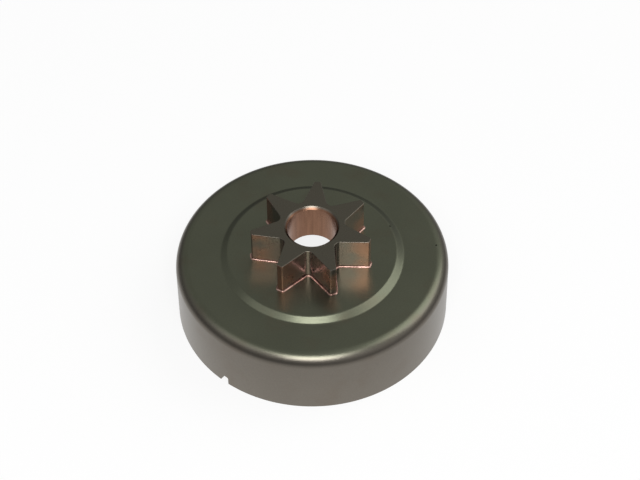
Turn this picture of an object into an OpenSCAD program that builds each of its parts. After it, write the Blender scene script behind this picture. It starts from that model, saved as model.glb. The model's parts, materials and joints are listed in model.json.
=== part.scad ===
// Clutch drum of a chainsaw: a pressed steel cup with a spur sprocket brazed on its closed end.
// Millimetres. The origin is the centre of the open rim, and +Z runs up the bore to the sprocket's top.

/* [Cup] */
// Outer diameter of the wall
drum_d = 72.5; // [68:0.5:80]
// Height of the flat ring-shaped face above the open rim
face_h = 19.2; // [15:0.1:24]
// Thickness of the pressed sheet
sheet_t = 1.8; // [1.4:0.1:2.2]
// Outer radius of the corner between the wall and the face
corner_r = 3.5; // [2.8:0.1:5]
// Chamfer on the inner edge of the open rim
rim_chamfer = 0.4; // [0.2:0.1:0.8]

/* [Raised middle] */
// Diameter at the foot of the sloping step
step_d = 48.6; // [44:0.2:54]
// Height of the raised middle above the ring-shaped face
step_h = 1.15; // [0.6:0.05:1.6]
// Slope of the step, measured from the flat face
step_slope = 32; // [20:1:45]

/* [Rim notch] */
// Width of the notch in the open rim
notch_w = 2.6; // [1.6:0.1:4]
// Depth of the notch above the rim
notch_depth = 2.5; // [1.5:0.1:4]
// Radius of the two blind corners of the notch
notch_r = 0.5; // [0.2:0.1:0.7]
// Direction of the notch, turned from +X towards +Y
notch_angle = 229.7; // [0:0.1:359]

/* [Sprocket teeth] */
// Number of teeth
teeth = 7; // [6:1:8]
// Diameter over the tooth tips
tip_d = 32.1; // [30:0.1:36]
// Diameter of the circle that touches the bottoms of the tooth gaps
root_d = 17.6; // [17:0.1:19]
// Width of a tooth across its tip
tip_w = 1.6; // [1.2:0.1:2.6]
// Radius of the rounded bottom of a tooth gap
root_r = 1.6; // [1:0.1:2]
// Radius of the two corners of a tooth tip
tip_r = 0.3; // [0.1:0.05:0.5]
// Height of the teeth above the raised middle
tooth_h = 9.65; // [7:0.05:14]
// Direction of the first tooth, turned from +X towards +Y
tooth_angle = 83.9; // [0:0.1:359]

/* [Bore and spigot] */
// Diameter of the through bore that takes the needle cage
bore_d = 13; // [12:0.1:14]
// Chamfer at each end of the bore
bore_chamfer = 0.7; // [0.2:0.1:0.9]
// Diameter of the spigot that seats in the cup's centre hole
spigot_d = 16.4; // [15.8:0.1:16.6]
// Radial gap between the spigot and its hole
spigot_gap = 0.05; // [0.02:0.01:0.1]

/* [Braze] */
// Width of the braze bead round the foot of the sprocket
braze_w = 0.45; // [0.2:0.05:0.8]
// Height of the braze bead
braze_h = 0.4; // [0.2:0.05:0.8]

/* [Hidden] */
$fn = 96;
// Length by which a cutting solid runs past the face that it opens
cut_past = 1;
// Straight steps round the bottom of a tooth gap and round one corner of a tip
root_steps = 12;
tip_steps = 4;

drum_r = drum_d / 2;
seat_h = face_h + step_h;
top_h = seat_h + tooth_h;
spigot_bottom = seat_h - sheet_t;
spigot_hole_r = spigot_d / 2 + spigot_gap;
step_foot_r = step_d / 2;
step_run = step_h / tan(step_slope);

tip_radius = tip_d / 2;
tooth_pitch = 360 / teeth;
// In the frame of one tooth gap, whose middle line is +X: the centre of the rounded bottom
gap_centre = [root_d / 2 + root_r, 0];
// The upper sharp corner of the neighbouring tooth, before its tip is rounded
corner_angle = tooth_pitch / 2 - asin(tip_w / tip_d);
tip_corner = tip_radius * [cos(corner_angle), sin(corner_angle)];
corner_reach = tip_corner - gap_centre;
// The flank runs from the tip corner and touches the rounded bottom
flank_angle = atan2(corner_reach[1], corner_reach[0]) + acos(root_r / norm(corner_reach)) - 90;
flank_dir = [cos(flank_angle), sin(flank_angle)];
into_tooth = [-sin(flank_angle), cos(flank_angle)];
// Centre of the small arc that rounds the tip corner, inside the flank and inside the tip circle
arc_start = gap_centre + (root_r + tip_r) * into_tooth;
arc_along = arc_start * flank_dir;
arc_slide = sqrt(pow(arc_along, 2) - pow(norm(arc_start), 2) + pow(tip_radius - tip_r, 2)) - arc_along;
arc_centre = arc_start + arc_slide * flank_dir;

// Points of an arc, both ends included
function arc(centre, radius, from, to, steps) =
    [for (k = [0 : steps]) let (a = from + (to - from) * k / steps) centre + radius * [cos(a), sin(a)]];

function turned(points, angle) =
    [for (p = points) [p[0] * cos(angle) - p[1] * sin(angle), p[0] * sin(angle) + p[1] * cos(angle)]];

function flipped(points) = [for (p = points) [p[0], -p[1]]];

function backwards(points) = [for (k = [len(points) - 1 : -1 : 0]) points[k]];

// Outline of one tooth gap, its middle line on +X, with the metal pushed out on every side by grow:
// in along the lower flank, round the bottom and out along the upper flank to the tip
function gap_points(grow) =
    let (
        bottom = arc(gap_centre, root_r - grow, 270 - flank_angle, 90 + flank_angle, root_steps),
        outward = atan2(arc_centre[1], arc_centre[0]),
        tip = arc(arc_centre, tip_r + grow, flank_angle - 90, outward, tip_steps)
    )
    concat(backwards(flipped(tip)), bottom, tip);

// Half section of the cup's outer skin, or of its inner skin when inset by the sheet's thickness.
// The bends of the step move towards the axis with the inset, so the sheet is as thick on the slope.
module skin_section(inset = 0) {
    side_r = drum_r - inset;
    face_z = face_h - inset;
    bend_r = corner_r - inset;
    foot_r = step_foot_r - inset * tan(step_slope / 2);
    square([side_r, face_z - bend_r]);
    square([side_r - bend_r, face_z]);
    translate([side_r - bend_r, face_z - bend_r]) circle(r = bend_r);
    polygon([[0, face_z], [foot_r, face_z], [foot_r - step_run, face_z + step_h], [0, face_z + step_h]]);
}

// Half section of the pressed sheet, with its centre hole and its chamfered rim
module sheet_section() {
    inner_r = drum_r - sheet_t;
    difference() {
        skin_section();
        skin_section(inset = sheet_t);
        translate([0, -cut_past]) square([inner_r, 2 * cut_past]);
        translate([0, spigot_bottom - cut_past]) square([spigot_hole_r, sheet_t + 2 * cut_past]);
        polygon([
            [inner_r - cut_past, -cut_past],
            [inner_r + rim_chamfer + cut_past, -cut_past],
            [inner_r - cut_past, rim_chamfer + cut_past]
        ]);
    }
}

// Outline of the rim notch, standing on the rim with its blind corners rounded
module notch_outline() {
    translate([-notch_w / 2, -cut_past]) square([notch_w, cut_past + notch_depth - notch_r]);
    translate([notch_r - notch_w / 2, 0]) square([notch_w - 2 * notch_r, notch_depth]);
    for (side = [-1, 1])
        translate([side * (notch_w / 2 - notch_r), notch_depth - notch_r]) circle(r = notch_r);
}

// Outline of the sprocket, pushed out on every side by grow
module star_outline(grow = 0) {
    polygon([
        for (i = [0 : teeth - 1])
            each turned(gap_points(grow), tooth_angle + (i + 0.5) * tooth_pitch)
    ]);
}

// Through bore with a chamfer at both ends
module bore_cut() {
    mouth_d = bore_d + 2 * (bore_chamfer + cut_past);
    cone_h = bore_chamfer + cut_past;
    translate([0, 0, spigot_bottom - cut_past]) {
        cylinder(d = bore_d, h = top_h - spigot_bottom + 2 * cut_past);
        cylinder(d1 = mouth_d, d2 = bore_d, h = cone_h);
    }
    translate([0, 0, top_h - bore_chamfer]) cylinder(d1 = bore_d, d2 = mouth_d, h = cone_h);
}

// Pressed cup, open side down
module drum_cup() {
    color("#55564c")
        difference() {
            rotate_extrude() sheet_section();
            rotate([0, 0, notch_angle])
                translate([drum_r - sheet_t - cut_past, 0, 0])
                    rotate([90, 0, 90])
                        linear_extrude(sheet_t + 2 * cut_past) notch_outline();
        }
}

// Spur sprocket with its spigot, standing on the raised middle
module spur_sprocket() {
    color("#6b5a52")
        difference() {
            union() {
                translate([0, 0, seat_h]) linear_extrude(tooth_h) star_outline();
                translate([0, 0, spigot_bottom]) cylinder(d = spigot_d, h = sheet_t);
            }
            bore_cut();
        }
}

// Bead of braze metal in the corner between the sprocket and the raised middle
module braze_fillet() {
    color("#a98570")
        translate([0, 0, seat_h])
            linear_extrude(braze_h)
                difference() {
                    star_outline(grow = braze_w);
                    star_outline();
                }
}

drum_cup();
spur_sprocket();
braze_fillet();
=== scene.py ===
import json
import math

import bmesh
import bpy
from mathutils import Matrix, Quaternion, Vector


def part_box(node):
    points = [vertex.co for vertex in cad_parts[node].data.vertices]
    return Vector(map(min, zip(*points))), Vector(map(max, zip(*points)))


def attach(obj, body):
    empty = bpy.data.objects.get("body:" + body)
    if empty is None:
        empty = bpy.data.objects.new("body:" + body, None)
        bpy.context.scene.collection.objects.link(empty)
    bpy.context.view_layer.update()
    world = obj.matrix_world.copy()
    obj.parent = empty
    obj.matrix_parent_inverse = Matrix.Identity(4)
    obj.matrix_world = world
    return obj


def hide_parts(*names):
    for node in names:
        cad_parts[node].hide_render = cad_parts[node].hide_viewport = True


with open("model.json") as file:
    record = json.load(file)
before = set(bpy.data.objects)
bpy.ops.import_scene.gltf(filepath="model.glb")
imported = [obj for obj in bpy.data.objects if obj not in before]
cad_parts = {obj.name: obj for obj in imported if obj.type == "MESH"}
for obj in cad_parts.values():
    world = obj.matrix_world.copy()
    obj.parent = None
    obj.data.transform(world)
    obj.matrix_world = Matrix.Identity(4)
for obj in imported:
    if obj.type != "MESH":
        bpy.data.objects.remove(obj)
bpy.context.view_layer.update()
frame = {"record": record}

mm = 0.001
samePlace = 0.002 * mm
print("frame loaded")

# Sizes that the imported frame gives
mounts = {mount["name"]: mount for mount in frame["record"]["mounts"]}
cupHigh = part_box("drum_cup")[1]
sprocketLow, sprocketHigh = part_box("spur_sprocket")
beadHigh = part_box("braze_fillet")[1]
drumRadius = cupHigh.y
wallInside = mounts["friction_wall"]["dims"]["r_mm"] * mm
boreRadius = mounts["bore"]["dims"]["r_mm"] * mm
sheet = drumRadius - wallInside
seatHeight = cupHigh.z
spigotBottom = sprocketLow.z
topHeight = sprocketHigh.z


def clearSelection():
    if bpy.context.mode != "OBJECT":
        bpy.ops.object.mode_set(mode="OBJECT")
    bpy.ops.object.select_all(action="DESELECT")


def beginPiece(name):
    # the primitive that was just added is the active object
    piece = bpy.context.object
    piece.name = name
    piece.data.name = name
    bpy.ops.object.transform_apply(location=True, rotation=True, scale=True)
    bpy.ops.object.mode_set(mode="EDIT")
    bpy.ops.mesh.select_all(action="SELECT")
    return piece


def choose(piece, kind, wanted):
    # selects the vertices or edges of a piece in edit mode for which wanted is true
    bpy.ops.mesh.select_mode(type=kind)
    mesh = bmesh.from_edit_mesh(piece.data)
    for part in (*mesh.verts, *mesh.edges, *mesh.faces):
        part.select = False
    for part in mesh.verts if kind == "VERT" else mesh.edges:
        if wanted(part):
            part.select_set(True)
    mesh.select_flush_mode()
    bmesh.update_edit_mesh(piece.data)


def bevelChosen(offset, segments, affect="EDGES"):
    bpy.ops.mesh.bevel(offset=offset, segments=segments, profile=0.5, affect=affect, clamp_overlap=False)


def nearly(a, b):
    return abs(a - b) < samePlace


def distanceOut(vertex):
    return math.hypot(vertex.co.x, vertex.co.y)


def applyModifier(piece, kind, settings):
    clearSelection()
    piece.select_set(True)
    bpy.context.view_layer.objects.active = piece
    modifier = piece.modifiers.new(kind.title(), kind)
    for name, value in settings.items():
        setattr(modifier, name, value)
    bpy.ops.object.modifier_apply(modifier=modifier.name)


def cutOrJoin(piece, other, operation):
    applyModifier(piece, "BOOLEAN", {"object": other, "operation": operation, "solver": "EXACT"})
    bpy.data.objects.remove(other)


def finishPiece(piece, smoothAngle):
    # smooth where the surface bends gently, with the wide flat faces kept truly flat
    clearSelection()
    piece.select_set(True)
    bpy.context.view_layer.objects.active = piece
    bpy.ops.object.mode_set(mode="EDIT")
    bpy.ops.mesh.select_all(action="SELECT")
    bpy.ops.mesh.remove_doubles(threshold=samePlace / 4)
    bpy.ops.mesh.normals_make_consistent(inside=False)
    bpy.ops.object.mode_set(mode="OBJECT")
    bpy.ops.object.shade_smooth_by_angle(angle=math.radians(smoothAngle))
    applyModifier(piece, "WEIGHTED_NORMAL", {"mode": "FACE_AREA", "weight": 60, "keep_sharp": True})
    clearSelection()


def extrudeRings(rings):
    # carries the selected ring through the next radii and heights, one extrude and resize at a time
    radius, height = rings[0]
    for nextRadius, nextHeight in rings[1:]:
        bpy.ops.mesh.extrude_region_move(TRANSFORM_OT_translate={"value": (0, 0, nextHeight - height)})
        grow = nextRadius / radius
        bpy.ops.transform.resize(value=(grow, grow, 1), center_override=(0, 0, 0))
        radius, height = nextRadius, nextHeight


# Pressed cup, its sizes in millimetres and degrees
cup = {
    "segments": 288,
    "faceBelowSeat": 1.15,
    "cornerRadius": 3.5,
    "stepFootRadius": 24.3,
    "stepSlope": 32,
    "stepBend": 0.9,
    "rimChamfer": 0.4,
    "rimEdge": 0.15,
    "spigotHoleRadius": 8.25,
    "notchWidth": 2.6,
    "notchDepth": 2.5,
    "notchCorner": 0.5,
    "notchAngle": 229.7,
    "notchEdge": 0.12,
    "cornerSteps": 14,
    "bendSteps": 5,
    "innerBendSteps": 3,
    "rimSteps": 3,
    "smoothAngle": 30,
}


def roundRing(piece, radius, height, bend, turn, steps):
    def onRing(edge):
        return all(nearly(distanceOut(v), radius) and nearly(v.co.z, height) for v in edge.verts)

    choose(piece, "EDGE", onRing)
    bevelChosen(bend * math.tan(math.radians(turn) / 2), steps)


def cutNotch(piece):
    angle = math.radians(cup["notchAngle"])
    outward = Vector((math.cos(angle), math.sin(angle), 0))
    width, depth, past = cup["notchWidth"] * mm, cup["notchDepth"] * mm, mm
    middle = outward * (drumRadius - sheet / 2)
    clearSelection()
    bpy.ops.mesh.primitive_cube_add(
        size=1,
        location=(middle.x, middle.y, (depth - past) / 2),
        rotation=(0, 0, angle),
        scale=(sheet + 2 * past, width, depth + past),
    )
    cutter = beginPiece("notchCutter")

    def blindCorner(edge):
        along = (edge.verts[1].co - edge.verts[0].co).normalized()
        return abs(along.dot(outward)) > 0.9 and nearly(edge.verts[0].co.z, depth)

    choose(cutter, "EDGE", blindCorner)
    bevelChosen(cup["notchCorner"] * mm, 6)
    clearSelection()
    cutOrJoin(piece, cutter, "DIFFERENCE")

    # the small break of the edges that the notch leaves in the sheet
    across = Vector((-outward.y, outward.x, 0))
    bpy.context.view_layer.objects.active = piece
    bpy.ops.object.mode_set(mode="EDIT")

    def notchEdge(edge):
        mid = (edge.verts[0].co + edge.verts[1].co) / 2
        near = mid.dot(outward) > 0 and abs(mid.dot(across)) < width and mid.z < 1.2 * depth
        return near and len(edge.link_faces) == 2 and edge.calc_face_angle() > math.radians(40)

    choose(piece, "EDGE", notchEdge)
    bpy.ops.mesh.bevel(offset=cup["notchEdge"] * mm, segments=2, profile=0.5, clamp_overlap=True)
    clearSelection()


def makeDrumCup():
    faceHeight = seatHeight - cup["faceBelowSeat"] * mm
    holeRadius = cup["spigotHoleRadius"] * mm
    footRadius = cup["stepFootRadius"] * mm
    slope = math.radians(cup["stepSlope"])
    stepRun = cup["faceBelowSeat"] * mm / math.tan(slope)
    innerFoot = footRadius - sheet * math.tan(slope / 2)
    chamfer = cup["rimChamfer"] * mm
    corner, bend, edge = (cup[name] * mm for name in ("cornerRadius", "stepBend", "rimEdge"))
    outside = [
        (holeRadius, seatHeight),
        (footRadius - stepRun, seatHeight),
        (footRadius, faceHeight),
        (drumRadius, faceHeight),
        (drumRadius, 0),
    ]
    inside = [
        (wallInside + chamfer, 0),
        (wallInside, chamfer),
        (wallInside, faceHeight - sheet),
        (innerFoot, faceHeight - sheet),
        (innerFoot - stepRun, seatHeight - sheet),
        (holeRadius, seatHeight - sheet),
    ]
    rings = outside + inside
    clearSelection()
    bpy.ops.mesh.primitive_circle_add(
        vertices=cup["segments"], radius=rings[0][0], fill_type="NOTHING", location=(0, 0, rings[0][1])
    )
    piece = beginPiece("drumCup")
    extrudeRings(rings)
    choose(piece, "EDGE", lambda e: len(e.link_faces) == 1)
    bpy.ops.mesh.bridge_edge_loops()
    quarter, steps = 90, cup["cornerSteps"]
    for ring in outside[1:3]:
        roundRing(piece, *ring, bend, cup["stepSlope"], cup["bendSteps"])
    roundRing(piece, *outside[3], corner, quarter, steps)
    roundRing(piece, *outside[4], edge, quarter, cup["rimSteps"])
    roundRing(piece, *inside[2], corner - sheet, quarter, steps // 2)
    for ring in inside[3:5]:
        roundRing(piece, *ring, bend, cup["stepSlope"], cup["innerBendSteps"])
    cutNotch(piece)
    finishPiece(piece, cup["smoothAngle"])
    return piece


# Spur sprocket, its sizes in millimetres and degrees
sprocket = {
    "teeth": 7,
    "toothAngle": 83.9,
    "tipCircle": 32.1,
    "rootCircle": 17.6,
    "tipWidth": 1.6,
    "rootRadius": 1.6,
    "tipCorner": 0.3,
    "edgeRound": 0.16,
    "spigotDiameter": 16.4,
    "boreChamfer": 0.7,
    "rootSteps": 12,
    "tipSteps": 5,
    "edgeSteps": 3,
    "roundSegments": 128,
    "smoothAngle": 35,
}


def starShape():
    # half angles of a tooth and of a gap, and how far out their flanks would meet
    tipRadius = sprocket["tipCircle"] / 2 * mm
    root, halfTip = sprocket["rootRadius"] * mm, sprocket["tipWidth"] / 2 * mm
    halfPitch = math.pi / sprocket["teeth"]
    corner = halfPitch - math.asin(halfTip / tipRadius)
    gapCentre = sprocket["rootCircle"] / 2 * mm + root
    reach = Vector((math.cos(corner), math.sin(corner))) * tipRadius - Vector((gapCentre, 0))
    gapHalf = math.atan2(reach.y, reach.x) + math.acos(root / reach.length) - math.pi / 2
    toothHalf = gapHalf - halfPitch
    gapApex = gapCentre - root / math.sin(gapHalf)
    landOut = math.sqrt(tipRadius**2 - halfTip**2)
    toothApex = landOut + halfTip / math.tan(toothHalf)
    return gapHalf, toothHalf, gapApex, toothApex, landOut


def addStarFace(name, height, grow):
    # flat filled outline of the sprocket, pushed out all round by grow, facing up
    gapHalf, toothHalf, gapApex, toothApex, landOut = starShape()
    pitch = 2 * math.pi / sprocket["teeth"]
    firstTooth = math.radians(sprocket["toothAngle"])
    gapRadius = gapApex + grow / math.sin(gapHalf)
    apexRadius = toothApex + grow / math.sin(toothHalf)
    clearSelection()
    bpy.ops.mesh.primitive_circle_add(
        vertices=2 * sprocket["teeth"],
        radius=apexRadius,
        fill_type="NGON",
        location=(0, 0, height),
        rotation=(0, 0, firstTooth - math.pi / 2),
    )
    piece = beginPiece(name)

    def inGap(vertex):
        turn = (math.atan2(vertex.co.y, vertex.co.x) - firstTooth) / pitch
        return abs(turn - math.floor(turn) - 0.5) < 0.2

    choose(piece, "VERT", inGap)
    share = gapRadius / apexRadius
    bpy.ops.transform.resize(value=(share, share, 1), center_override=(0, 0, 0))
    bevelChosen((sprocket["rootRadius"] * mm - grow) / math.tan(gapHalf), sprocket["rootSteps"], "VERTICES")
    choose(piece, "VERT", lambda v: nearly(distanceOut(v), apexRadius))
    landOffset = (apexRadius - landOut - grow) / math.cos(toothHalf)
    bevelChosen(landOffset, 1, "VERTICES")
    cornerOut = math.hypot(landOut + grow, landOffset * math.sin(toothHalf))
    choose(piece, "VERT", lambda v: nearly(distanceOut(v), cornerOut))
    cornerTurn = math.pi / 2 - toothHalf
    tipOffset = (sprocket["tipCorner"] * mm + grow) * math.tan(cornerTurn / 2)
    bevelChosen(tipOffset, sprocket["tipSteps"], "VERTICES")
    bpy.ops.mesh.select_all(action="SELECT")
    return piece


def makeSpurSprocket():
    piece = addStarFace("spurSprocket", seatHeight, 0)
    bpy.ops.mesh.extrude_region_move(TRANSFORM_OT_translate={"value": (0, 0, topHeight - seatHeight)})
    choose(piece, "EDGE", lambda e: all(nearly(v.co.z, topHeight) for v in e.verts))
    bevelChosen(sprocket["edgeRound"] * mm, sprocket["edgeSteps"])

    # the spigot below the teeth, run a little way into them
    clearSelection()
    overlap = mm
    spigotTop = seatHeight + overlap
    bpy.ops.mesh.primitive_cylinder_add(
        vertices=sprocket["roundSegments"],
        radius=sprocket["spigotDiameter"] / 2 * mm,
        depth=spigotTop - spigotBottom,
        location=(0, 0, (spigotTop + spigotBottom) / 2),
    )
    spigot = beginPiece("spigot")
    clearSelection()
    cutOrJoin(piece, spigot, "UNION")

    # the bore with its two chamfers
    chamfer, past = sprocket["boreChamfer"] * mm, mm
    mouth = boreRadius + chamfer + past
    rings = [
        (mouth, spigotBottom - past),
        (boreRadius, spigotBottom + chamfer),
        (boreRadius, topHeight - chamfer),
        (mouth, topHeight + past),
    ]
    bpy.ops.mesh.primitive_circle_add(
        vertices=sprocket["roundSegments"], radius=mouth, fill_type="NGON", location=(0, 0, rings[0][1])
    )
    cutter = beginPiece("boreCutter")
    extrudeRings(rings)
    bpy.ops.mesh.select_all(action="SELECT")
    bpy.ops.mesh.normals_make_consistent(inside=False)
    clearSelection()
    cutOrJoin(piece, cutter, "DIFFERENCE")
    finishPiece(piece, sprocket["smoothAngle"])
    return piece


# Bead of braze metal, its sizes in millimetres
bead = {
    "width": 0.45,
    "steps": 6,
    "intoSprocket": 0.03,
    "smoothAngle": 40,
}


def makeBrazeFillet():
    width, height = bead["width"] * mm, beadHigh.z - seatHeight
    piece = addStarFace("brazeFillet", seatHeight, width)
    lastAcross, lastUp = 0, 0
    for step in range(1, bead["steps"] + 1):
        angle = math.pi / 2 * step / bead["steps"]
        across, up = width * math.sin(angle), height * (1 - math.cos(angle))
        bpy.ops.mesh.inset(thickness=across - lastAcross, depth=up - lastUp, use_even_offset=True)
        lastAcross, lastUp = across, up
    bpy.ops.mesh.inset(thickness=bead["intoSprocket"] * mm, depth=0, use_even_offset=True)
    bpy.ops.mesh.delete(type="ONLY_FACE")
    choose(piece, "EDGE", lambda e: len(e.link_faces) == 1 and e.verts[0].co.z > seatHeight + height / 2)
    bpy.ops.mesh.extrude_region_move(TRANSFORM_OT_translate={"value": (0, 0, -height)})
    choose(piece, "EDGE", lambda e: len(e.link_faces) == 1)
    bpy.ops.mesh.bridge_edge_loops()
    finishPiece(piece, bead["smoothAngle"])
    return piece


class Wire:
    # one socket of a node tree; sums and products of wires and numbers add Math nodes
    def __init__(self, nodes, socket):
        self.nodes = nodes
        self.socket = socket

    def maths(self, operation, *values):
        return self.nodes.add("ShaderNodeMath", {"operation": operation}, dict(enumerate(values)))

    def __add__(self, other):
        return self.maths("ADD", self, other)

    def __sub__(self, other):
        return self.maths("SUBTRACT", self, other)

    def __rsub__(self, other):
        return self.maths("SUBTRACT", other, self)

    def __mul__(self, other):
        return self.maths("MULTIPLY", self, other)

    def __truediv__(self, other):
        return self.maths("DIVIDE", self, other)

    def __pow__(self, other):
        return self.maths("POWER", self, other)

    __radd__ = __add__
    __rmul__ = __mul__


class Nodes:
    # the node tree of one finish or of the world
    def __init__(self, tree):
        self.tree = tree
        tree.nodes.clear()

    def add(self, kind, settings=None, sockets=None, output=0):
        node = self.tree.nodes.new(kind)
        for name, value in (settings or {}).items():
            setattr(node, name, value)
        for name, value in (sockets or {}).items():
            if isinstance(value, Wire):
                self.tree.links.new(value.socket, node.inputs[name])
            else:
                node.inputs[name].default_value = value
        return Wire(self, node.outputs[output]) if len(node.outputs) else node

    def parts(self, vector):
        split = self.add("ShaderNodeSeparateXYZ", sockets={0: vector}).socket.node
        return [Wire(self, socket) for socket in split.outputs]

    def noise(self, place, scale, detail=2, roughness=0.5):
        sockets = {"Vector": place, "Scale": scale, "Detail": detail, "Roughness": roughness}
        return self.add("ShaderNodeTexNoise", {}, sockets)

    def stretched(self, place, scale):
        return self.add("ShaderNodeMapping", {}, {"Vector": place, "Scale": scale})

    def smooth(self, value, low, high):
        # 0 below low, 1 above high and an even slide between them
        settings = {"interpolation_type": "SMOOTHSTEP"}
        return self.add("ShaderNodeMapRange", settings, {"Value": value, "From Min": low, "From Max": high})

    def mix(self, share, first, second):
        sockets = {0: share, 6: first, 7: second}
        return self.add("ShaderNodeMix", {"data_type": "RGBA"}, sockets, output=2)

    def brighten(self, colour, share):
        return self.add("ShaderNodeVectorMath", {"operation": "SCALE"}, {0: colour, "Scale": share})

    def bump(self, height, depth):
        return self.add("ShaderNodeBump", {}, {"Height": height, "Distance": depth, "Strength": 1})


def newFinish(name):
    material = bpy.data.materials.new(name)
    material.use_nodes = True
    nodes = Nodes(material.node_tree)
    return material, nodes, nodes.add("ShaderNodeTexCoord", output="Object")


def metalSurface(nodes, colour, roughness, normal):
    sockets = {"Base Color": colour, "Metallic": 1, "Roughness": roughness, "Normal": normal}
    surface = nodes.add("ShaderNodeBsdfPrincipled", {}, sockets)
    nodes.add("ShaderNodeOutputMaterial", {}, {"Surface": surface})


def colour(code):
    # a colour as it shows on the screen, such as #6e7160, in the linear values that nodes take
    shown = [int(code[k:k + 2], 16) / 255 for k in (1, 3, 5)]
    return [c / 12.92 if c <= 0.04045 else ((c + 0.055) / 1.055) ** 2.4 for c in shown] + [1]


# Heat-treated sheet of the cup: colours, depths of the patterns, and lengths in millimetres
cupSteel = {
    "face": "#6e7160",
    "wall": "#7b756c",
    "wallFrom": 2.6,
    "wallTo": 0.4,
    "brown": "#6b5847",
    "brownShare": 0.22,
    "brownFrom": 0.5,
    "brownTo": 0.75,
    "brownScale": 110.5,
    "cloudScale": 65,
    "cloudDepth": 0.16,
    "grainScale": 2400,
    "grainDepth": 0.22,
    "roughness": 0.3,
    "roughnessSpread": 0.1,
    "bumpDepth": 0.012,
    "pitShade": 0.85,
    "pitRelief": 2,
    "pits": [(20.9, 8.4, 0.32), (33.0, 2.4, 0.34)],
}


def makeCupSteel():
    material, steel, place = newFinish("cupSteelFinish")
    x, y, _ = steel.parts(place)
    radius = (x * x + y * y) ** 0.5
    wallFrom, wallTo = (drumRadius - cupSteel[name] * mm for name in ("wallFrom", "wallTo"))
    wall = steel.smooth(radius, wallFrom, wallTo)
    cloud = steel.noise(place, cupSteel["cloudScale"], 3)
    stain = steel.noise(place, cupSteel["brownScale"], 4)
    stain = steel.smooth(stain, cupSteel["brownFrom"], cupSteel["brownTo"])
    grain = steel.noise(place, cupSteel["grainScale"], 2, 0.6)
    base = steel.mix(wall, colour(cupSteel["face"]), colour(cupSteel["wall"]))
    base = steel.mix(stain * cupSteel["brownShare"], base, colour(cupSteel["brown"]))
    tone = 1 + cupSteel["cloudDepth"] * (cloud - 0.5) + cupSteel["grainDepth"] * (grain - 0.5)
    pit = 0
    for across, back, size in cupSteel["pits"]:
        away = ((x - across * mm) ** 2 + (y - back * mm) ** 2) ** 0.5
        pit = 1 - steel.smooth(away, 0.5 * size * mm, size * mm) + pit
    base = steel.brighten(base, tone * (1 - cupSteel["pitShade"] * pit))
    roughness = cupSteel["roughness"] + cupSteel["roughnessSpread"] * (cloud - 0.5)
    relief = steel.bump(grain - cupSteel["pitRelief"] * pit, cupSteel["bumpDepth"] * mm)
    metalSurface(steel, base, roughness, relief)
    return material


# Steel of the sprocket with its copper haze
sprocketSteel = {
    "top": "#6b675b",
    "flank": "#7d7474",
    "copper": "#a87f73",
    "bore": "#7d5c49",
    "sideFrom": 0.35,
    "sideTo": 0.85,
    "boreFrom": 0.15,
    "boreTo": 0.6,
    "hazeFrom": 9.5,
    "hazeTo": 15.5,
    "hazeLeast": 0.15,
    "patchFrom": 0.3,
    "patchTo": 0.62,
    "cloudScale": 160,
    "grainScale": 2600,
    "grainDepth": 0.25,
    "streakScale": 1300,
    "streakSquash": 0.07,
    "streakDepth": 0.7,
    "roughness": 0.27,
    "roughnessSpread": 0.12,
    "bumpDepth": 0.009,
}


def makeSprocketSteel():
    material, steel, place = newFinish("sprocketSteelFinish")
    x, y, _ = steel.parts(place)
    radius = (x * x + y * y) ** 0.5
    facing = steel.parts(steel.add("ShaderNodeTexCoord", output="Normal"))[2]
    facing = facing.maths("ABSOLUTE", facing)
    side = 1 - steel.smooth(facing, sprocketSteel["sideFrom"], sprocketSteel["sideTo"])
    boreFrom, boreTo = (boreRadius + sprocketSteel[name] * mm for name in ("boreFrom", "boreTo"))
    inBore = 1 - steel.smooth(radius, boreFrom, boreTo)
    cloud = steel.noise(place, sprocketSteel["cloudScale"], 3)
    grain = steel.noise(place, sprocketSteel["grainScale"], 2, 0.6)
    streak = steel.stretched(place, (1, 1, sprocketSteel["streakSquash"]))
    streak = steel.noise(streak, sprocketSteel["streakScale"], 3, 0.6)
    reach = steel.smooth(radius, sprocketSteel["hazeFrom"] * mm, sprocketSteel["hazeTo"] * mm)
    least = sprocketSteel["hazeLeast"]
    patches = steel.smooth(cloud, sprocketSteel["patchFrom"], sprocketSteel["patchTo"])
    haze = side * (least + (1 - least) * reach) * patches
    base = steel.mix(side, colour(sprocketSteel["top"]), colour(sprocketSteel["flank"]))
    base = steel.mix(haze, base, colour(sprocketSteel["copper"]))
    base = steel.mix(inBore, base, colour(sprocketSteel["bore"]))
    tone = 1 + sprocketSteel["grainDepth"] * (grain - 0.5)
    tone = tone + inBore * (sprocketSteel["streakDepth"] * (streak - 0.5))
    base = steel.brighten(base, tone)
    roughness = sprocketSteel["roughness"] + sprocketSteel["roughnessSpread"] * (cloud - 0.5)
    relief = steel.bump(grain + inBore * streak, sprocketSteel["bumpDepth"] * mm)
    metalSurface(steel, base, roughness, relief)
    return material


# Copper braze metal
beadCopper = {
    "bright": "#c9a497",
    "dull": "#80645a",
    "cloudScale": 700,
    "dullFrom": 0.35,
    "dullTo": 0.7,
    "roughness": 0.24,
    "roughnessSpread": 0.2,
    "bumpDepth": 0.01,
}


def makeBeadCopper():
    material, copper, place = newFinish("brazeCopperFinish")
    cloud = copper.noise(place, beadCopper["cloudScale"], 3)
    dull = copper.smooth(cloud, beadCopper["dullFrom"], beadCopper["dullTo"])
    base = copper.mix(dull, colour(beadCopper["bright"]), colour(beadCopper["dull"]))
    roughness = beadCopper["roughness"] + beadCopper["roughnessSpread"] * (cloud - 0.5)
    metalSurface(copper, base, roughness, copper.bump(cloud, beadCopper["bumpDepth"] * mm))
    return material


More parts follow.
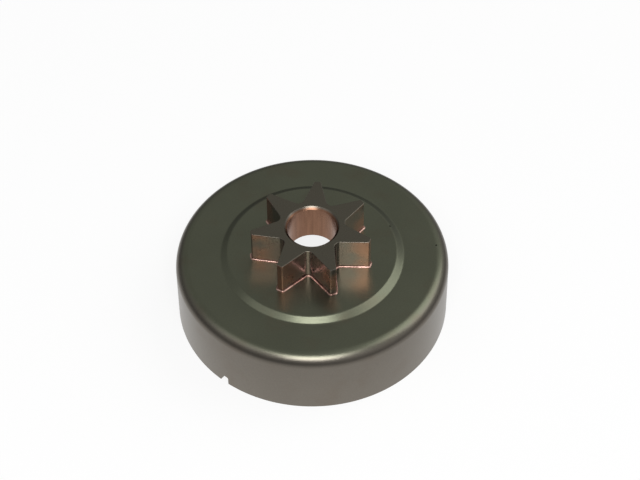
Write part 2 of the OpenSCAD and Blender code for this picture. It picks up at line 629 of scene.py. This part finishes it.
pieces = [
    (makeDrumCup(), makeCupSteel(), "drum_cup", "cup_steel"),
    (makeSpurSprocket(), makeSprocketSteel(), "spur_sprocket", "sprocket_steel"),
    (makeBrazeFillet(), makeBeadCopper(), "braze_fillet", "braze_copper"),
]
for piece, finish, node, slot in pieces:
    piece.data.materials.clear()
    piece.data.materials.append(finish)
    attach(piece, "root")
    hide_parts(node)
    print(piece.name, "made with", len(piece.data.polygons), "faces")

# Floor, studio and camera, their lengths in millimetres
studio = {
    "floorSize": 6000,
    "floorColour": "#f8f8f8",
    "floorShadowShare": 0.15,
    # the floor's painted pool of light, seen only in reflections: how far it reaches, its least glow and
    # the glow it adds
    "paintedPoolReach": 90,
    "paintedPoolLow": 0.2,
    "paintedPoolHigh": 0.85,
    "roomLow": 0.14,
    "roomHigh": 0.21,
    "roomRight": 0.22,
    "riseTo": 0.5,
    "rightFrom": -0.2,
    "rightTo": 0.9,
    "lamps": {
        "keySoftbox": {"azimuth": 270, "elevation": 52, "away": 900, "size": 450, "radiance": 7},
        "rightSoftbox": {"azimuth": 15, "elevation": 47, "away": 1000, "size": 800, "radiance": 1.3},
        "leftSoftbox": {"azimuth": 205, "elevation": 50, "away": 1000, "size": 600, "radiance": 0.5},
    },
}


def raySorts(nodes):
    # 1 for the rays that look at the background itself, in a mirror or through something clear
    seen = nodes.add("ShaderNodeLightPath").socket.node
    names = ("Is Camera Ray", "Is Glossy Ray", "Is Transmission Ray")
    return [Wire(nodes, seen.outputs[name]) for name in names]


def makeFloor():
    clearSelection()
    bpy.ops.mesh.primitive_plane_add(size=studio["floorSize"] * mm)
    floor = bpy.context.object
    floor.name = "studioFloor"
    material, paper, place = newFinish("floorPaper")
    x, y, _ = paper.parts(place)
    # Painted light: to mirrored rays the floor glows as a painted pool of light, brightest near the object
    # and fading with distance; to the camera the floor is evenly white.
    spread = (x * x + y * y) / (studio["paintedPoolReach"] * mm) ** 2
    paintedLightPool = studio["paintedPoolLow"] + studio["paintedPoolHigh"] * spread.maths("POWER", 1 / math.e, spread)
    plain, mirrored, through = raySorts(paper)
    level = plain + through + mirrored * paintedLightPool
    glow = paper.add("ShaderNodeEmission", {}, {"Color": (1, 1, 1, 1), "Strength": level})
    matt = paper.add("ShaderNodeBsdfDiffuse", {}, {"Color": colour(studio["floorColour"])})
    share = (plain + through) * (1 - studio["floorShadowShare"]) + mirrored
    surface = paper.add("ShaderNodeMixShader", {}, {0: share, 1: matt, 2: glow})
    paper.add("ShaderNodeOutputMaterial", {}, {"Surface": surface})
    floor.data.materials.append(material)


def makeRoom():
    world = bpy.data.worlds.new("studioRoom")
    world.use_nodes = True
    bpy.context.scene.world = world
    room = Nodes(world.node_tree)
    x, _, z = room.parts(room.add("ShaderNodeTexCoord", output="Generated"))
    level = studio["roomLow"] + studio["roomHigh"] * room.smooth(z, 0, studio["riseTo"])
    level = level + studio["roomRight"] * room.smooth(x, studio["rightFrom"], studio["rightTo"])
    plain, _, through = raySorts(room)
    white = plain + through
    level = level * (1 - white) + white
    glow = room.add("ShaderNodeBackground", {}, {"Color": (1, 1, 1, 1), "Strength": level})
    room.add("ShaderNodeOutputWorld", {}, {"Surface": glow})


def makeLamps():
    for name, lamp in studio["lamps"].items():
        azimuth, elevation = math.radians(lamp["azimuth"]), math.radians(lamp["elevation"])
        flat = math.cos(elevation)
        outward = Vector((flat * math.cos(azimuth), flat * math.sin(azimuth), math.sin(elevation)))
        clearSelection()
        bpy.ops.object.light_add(type="AREA", location=outward * lamp["away"] * mm)
        light = bpy.context.object
        light.name = name
        light.rotation_euler = outward.to_track_quat("Z", "Y").to_euler()
        light.data.size = lamp["size"] * mm
        light.data.energy = lamp["radiance"] * math.pi * light.data.size**2
        light.visible_camera = False


# Camera, in millimetres and degrees: it looks down from the front at the aimed point
view = {
    "lens": 117.03,
    "sensor": 36,
    "nearest": 10,
    "distance": 566.2,
    "elevation": 50.17,
    "aim": (2.14, 4.71, 19.2),
    "roll": -0.449,
}


def makeCamera():
    elevation = math.radians(view["elevation"])
    place = Vector((0, -math.cos(elevation), math.sin(elevation))) * view["distance"] * mm
    sight = Vector(view["aim"]) * mm - place
    clearSelection()
    bpy.ops.object.camera_add(location=place)
    camera = bpy.context.object
    camera.data.lens = view["lens"]
    camera.data.sensor_width = view["sensor"]
    camera.data.clip_start = view["nearest"] * mm
    roll = Quaternion((0, 0, 1), math.radians(view["roll"]))
    camera.rotation_euler = (sight.to_track_quat("-Z", "Y") @ roll).to_euler()
    bpy.context.scene.camera = camera


makeFloor()
makeRoom()
makeLamps()
makeCamera()
bpy.context.scene.view_settings.view_transform = "Standard"
print("studio and camera set")
